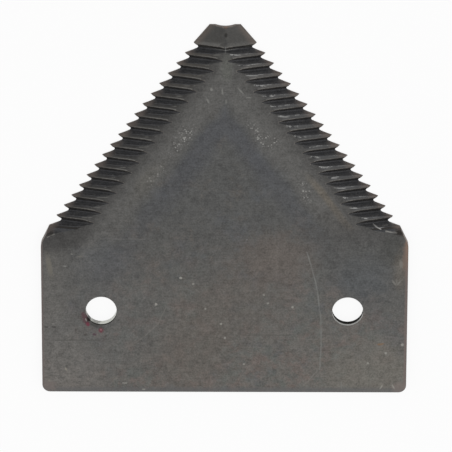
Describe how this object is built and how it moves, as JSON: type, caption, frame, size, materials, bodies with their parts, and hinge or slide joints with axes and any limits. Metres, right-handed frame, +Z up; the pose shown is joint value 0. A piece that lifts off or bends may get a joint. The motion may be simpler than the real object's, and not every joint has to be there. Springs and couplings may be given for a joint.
{
  "type": "mower sickle section",
  "caption": "Flat steel knife section for a sickle-bar mower, with serrated bevelled edges, a blunt tip and a pair of rivet holes near the base.",
  "frame": {"origin": "midway between the two hole centres, on the underside", "axes": "+Y along the knife towards its tip, +Z up out of the serrated face, +X across to the right"},
  "size_m": [0.0754, 0.0821, 0.002],
  "materials": {
    "steel": "dark oiled, lightly brushed"
  },
  "bodies": {
    "root": {"sickle_section": "steel"}
  },
  "joints": []
}
